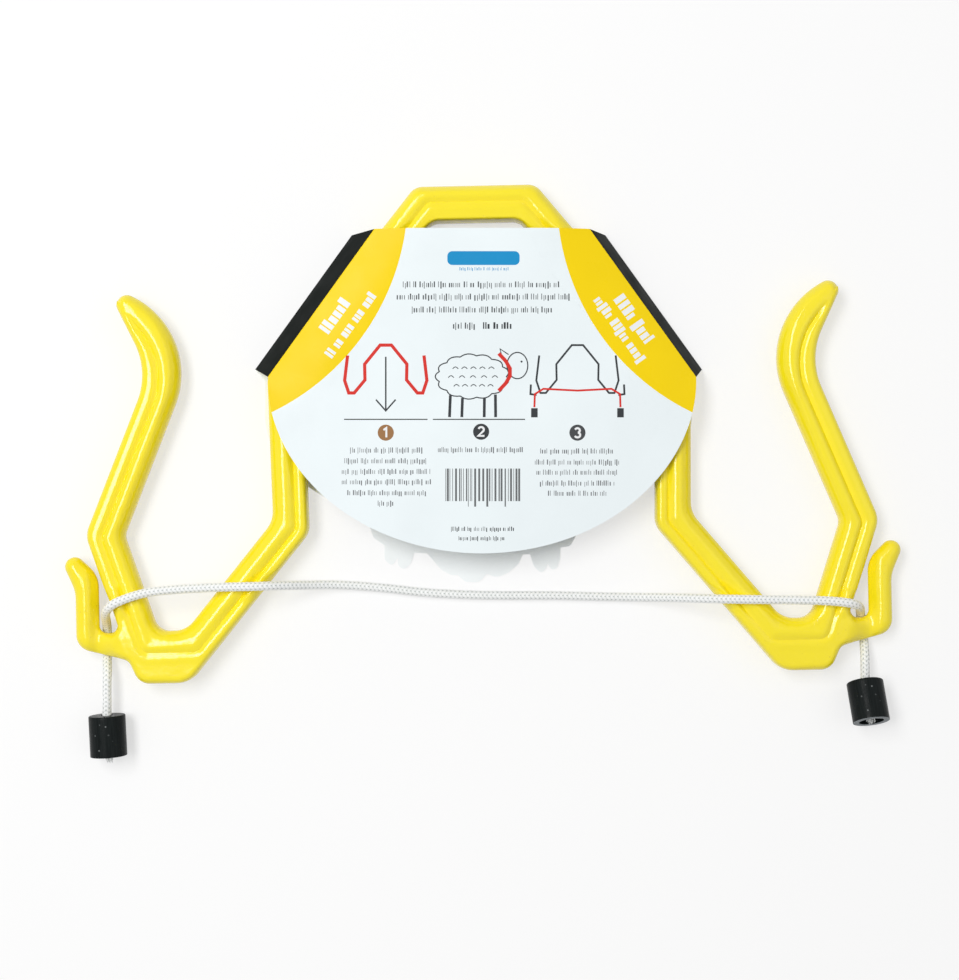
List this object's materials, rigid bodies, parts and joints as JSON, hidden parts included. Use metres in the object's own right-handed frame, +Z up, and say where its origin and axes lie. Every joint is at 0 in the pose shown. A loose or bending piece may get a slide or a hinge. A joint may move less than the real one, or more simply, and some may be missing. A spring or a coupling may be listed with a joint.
{
  "type": "sheep restrainer",
  "caption": "Moulded plastic animal restrainer: neck arch, leg pockets and cord hooks, with a braided tie cord, cup stoppers and a folded card sleeve.",
  "frame": {"origin": "centre of the object's bounding box without the cord and its stoppers, at the bottom face of the card sleeve, which it lies on", "axes": "+Z up out of the front face, +Y towards the arch that goes over the nape, +X to the right in the picture"},
  "size_m": [0.4514, 0.308, 0.0277],
  "materials": {
    "yellow_plastic": "smooth moulded plastic with a soft sheen",
    "white_braid": "white braided synthetic cord",
    "black_plastic": "black plastic with a light sheen and fine scuffs",
    "printed_card": null
  },
  "bodies": {
    "frame": {"frame": "yellow_plastic", "cord": "white_braid", "left_knot": "white_braid", "right_knot": "white_braid"},
    "card": {"card_sleeve": "printed_card"},
    "left_stopper": {"left_stopper": "black_plastic"},
    "right_stopper": {"right_stopper": "black_plastic"}
  },
  "joints": [
    {"name": "card_slide", "type": "slide", "parent": "frame", "child": "card", "axis": [0.0209, 0.9998, 0], "range_m": [0, 0.2]},
    {"name": "left_stopper_slide", "type": "slide", "parent": "frame", "child": "left_stopper", "axis": [0.021, 0.9998, 0], "range_m": [0, 0.0175]},
    {"name": "right_stopper_slide", "type": "slide", "parent": "frame", "child": "right_stopper", "axis": [0.048, 0.9843, -0.17], "range_m": [0, 0.006]}
  ]
}
